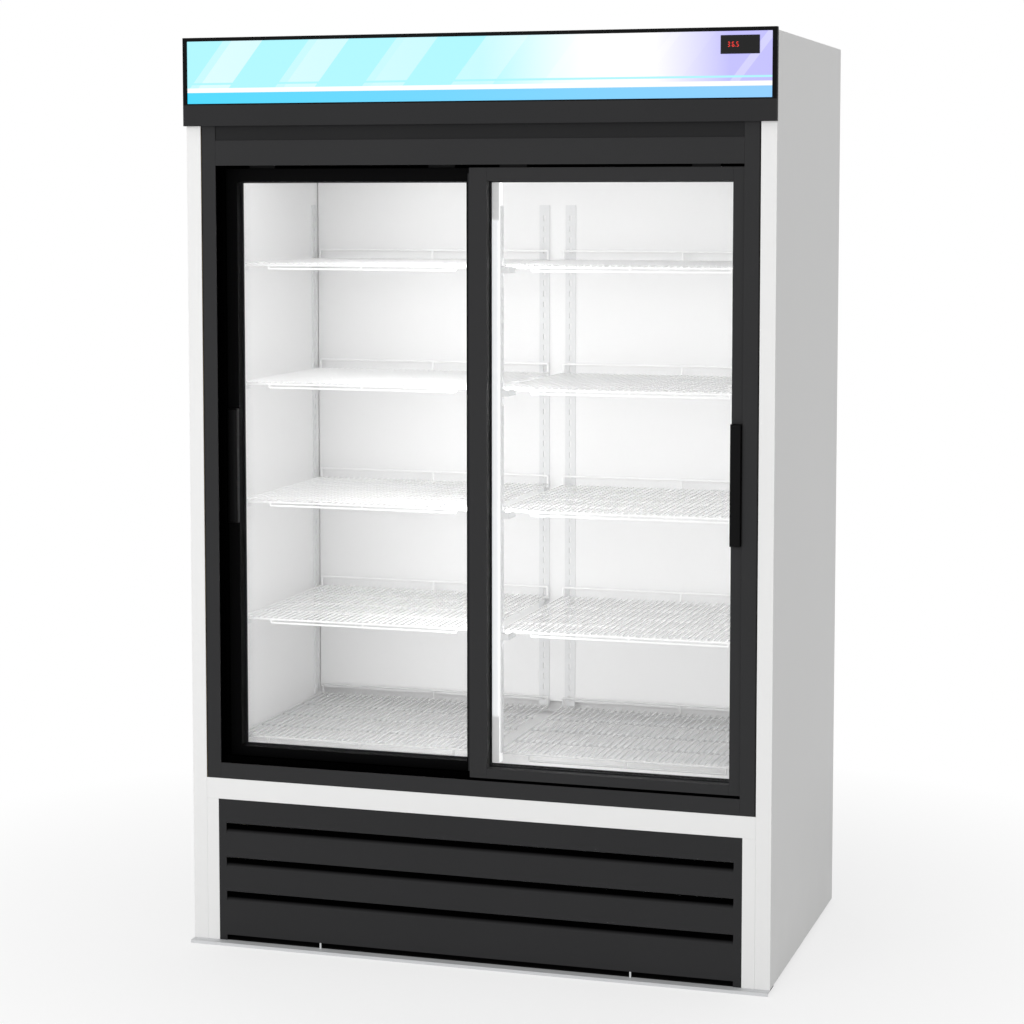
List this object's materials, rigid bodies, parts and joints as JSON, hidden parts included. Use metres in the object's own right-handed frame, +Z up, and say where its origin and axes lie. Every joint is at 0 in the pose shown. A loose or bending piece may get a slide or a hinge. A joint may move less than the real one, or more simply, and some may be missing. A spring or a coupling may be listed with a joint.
{
  "type": "sliding glass door merchandiser refrigerator",
  "caption": "Upright glass-front merchandiser refrigerator with two sliding doors, lit header sign, wire shelves and a louvred front grille.",
  "frame": {"origin": "on the floor, under the middle of the bounding box", "axes": "+Z up, -Y towards the shopper in front of the doors, +X to the right as seen from the front"},
  "size_m": [1.3086, 0.779, 2],
  "materials": {
    "white_paint": "smooth white enamel",
    "galvanised": "plain galvanised sheet",
    "pale_grey": "pale grey paint",
    "foam": "rigid polyurethane foam",
    "liner_white": "white coated sheet",
    "rubber_black": "matt black rubber",
    "frame_dark": "satin charcoal coat",
    "door_dark": "satin black coat",
    "track_metal": "mill finish",
    "clear_glass": "clear float glass",
    "sign_face": "backlit printed panel",
    "display_black": "gloss black",
    "grille_black": "satin black coat",
    "lamp_white": "opal diffuser",
    "wire_white": "white epoxy coat",
    "zinc": "zinc plated",
    "roller_nylon": "natural nylon",
    "fan_plastic": "black moulding",
    "motor_grey": "dark grey paint",
    "fin_aluminium": "fin stack",
    "compressor_black": "black enamel",
    "pan_plastic": "black moulding",
    "copper": "bare copper line"
  },
  "bodies": {
    "cabinet": {"left_side_panel": "white_paint", "right_side_panel": "white_paint", "top_panel": "white_paint", "rear_panel": "galvanised", "front_apron": "white_paint", "foam_insulation": "foam", "liner": "liner_white", "base_pan": "galvanised", "toe_rail": "pale_grey", "levelling_feet": "rubber_black", "frame_jambs": "frame_dark", "frame_head": "frame_dark", "frame_sill": "frame_dark", "upper_track": "track_metal", "header_trim": "frame_dark", "sign_panel": "sign_face", "header_housing": "galvanised", "thermometer_case": "display_black", "front_grille": "grille_black", "air_duct_panel": "liner_white", "center_mullion": "liner_white", "led_lamps": "lamp_white", "shelf_standards": "liner_white", "shelf_clips": "zinc", "shelf_1": "wire_white", "shelf_2": "wire_white", "shelf_3": "wire_white", "shelf_4": "wire_white", "deck_shelves": "wire_white", "evaporator_cover": "liner_white", "evaporator_fan_motors": "motor_grey", "evaporator_coil": "fin_aluminium", "condenser_coil": "fin_aluminium", "condenser_shroud": "galvanised", "condenser_fan_motor": "motor_grey", "compressor": "compressor_black", "condensate_pan": "pan_plastic", "control_box": "galvanised", "refrigerant_lines": "copper", "rear_grille": "galvanised", "cord_inlet": "rubber_black", "panel_screws": "zinc"},
    "left_door": {"left_door_frame": "door_dark", "left_door_glass": "clear_glass", "left_door_gasket": "rubber_black", "left_door_handle": "door_dark", "left_door_hangers": "zinc", "meeting_seal": "rubber_black"},
    "right_door": {"right_door_frame": "frame_dark", "right_door_glass": "clear_glass", "right_door_gasket": "rubber_black", "right_door_handle": "frame_dark", "right_door_hangers": "zinc"},
    "left_door_roller_a": {"left_door_roller_a": "roller_nylon"},
    "left_door_roller_b": {"left_door_roller_b": "roller_nylon"},
    "right_door_roller_a": {"right_door_roller_a": "roller_nylon"},
    "right_door_roller_b": {"right_door_roller_b": "roller_nylon"},
    "evaporator_fan_left": {"evaporator_fan_left": "fan_plastic"},
    "evaporator_fan_right": {"evaporator_fan_right": "fan_plastic"},
    "condenser_fan": {"condenser_fan": "fan_plastic"}
  },
  "joints": [
    {"name": "left_door_slide", "type": "slide", "parent": "cabinet", "child": "left_door", "axis": [1, 0, 0], "range_m": [0, 0.53]},
    {"name": "right_door_slide", "type": "slide", "parent": "cabinet", "child": "right_door", "axis": [1, 0, 0], "range_m": [-0.53, 0]},
    {"name": "left_door_roller_a_spin", "type": "hinge", "parent": "left_door", "child": "left_door_roller_a", "pos_m": [-0.089, -0.287, 1.7603], "axis": [0, 1, 0], "continuous": true},
    {"name": "left_door_roller_b_spin", "type": "hinge", "parent": "left_door", "child": "left_door_roller_b", "pos_m": [-0.504, -0.287, 1.7603], "axis": [0, 1, 0], "continuous": true},
    {"name": "right_door_roller_a_spin", "type": "hinge", "parent": "right_door", "child": "right_door_roller_a", "pos_m": [0.089, -0.344, 1.7603], "axis": [0, 1, 0], "continuous": true},
    {"name": "right_door_roller_b_spin", "type": "hinge", "parent": "right_door", "child": "right_door_roller_b", "pos_m": [0.504, -0.344, 1.7603], "axis": [0, 1, 0], "continuous": true},
    {"name": "evaporator_fan_left_spin", "type": "hinge", "parent": "cabinet", "child": "evaporator_fan_left", "pos_m": [-0.23, -0.0868, 1.834], "axis": [0, 1, 0], "continuous": true},
    {"name": "evaporator_fan_right_spin", "type": "hinge", "parent": "cabinet", "child": "evaporator_fan_right", "pos_m": [0.23, -0.0868, 1.834], "axis": [0, 1, 0], "continuous": true},
    {"name": "condenser_fan_spin", "type": "hinge", "parent": "cabinet", "child": "condenser_fan", "pos_m": [0.3, -0.2135, 0.151], "axis": [0, 1, 0], "continuous": true}
  ],
  "couplings": [
    {"joint": "left_door_roller_a_spin", "follows": "left_door_slide", "rad_per_m": 71.429},
    {"joint": "left_door_roller_b_spin", "follows": "left_door_slide", "rad_per_m": 71.429},
    {"joint": "right_door_roller_a_spin", "follows": "right_door_slide", "rad_per_m": 71.429},
    {"joint": "right_door_roller_b_spin", "follows": "right_door_slide", "rad_per_m": 71.429}
  ]
}
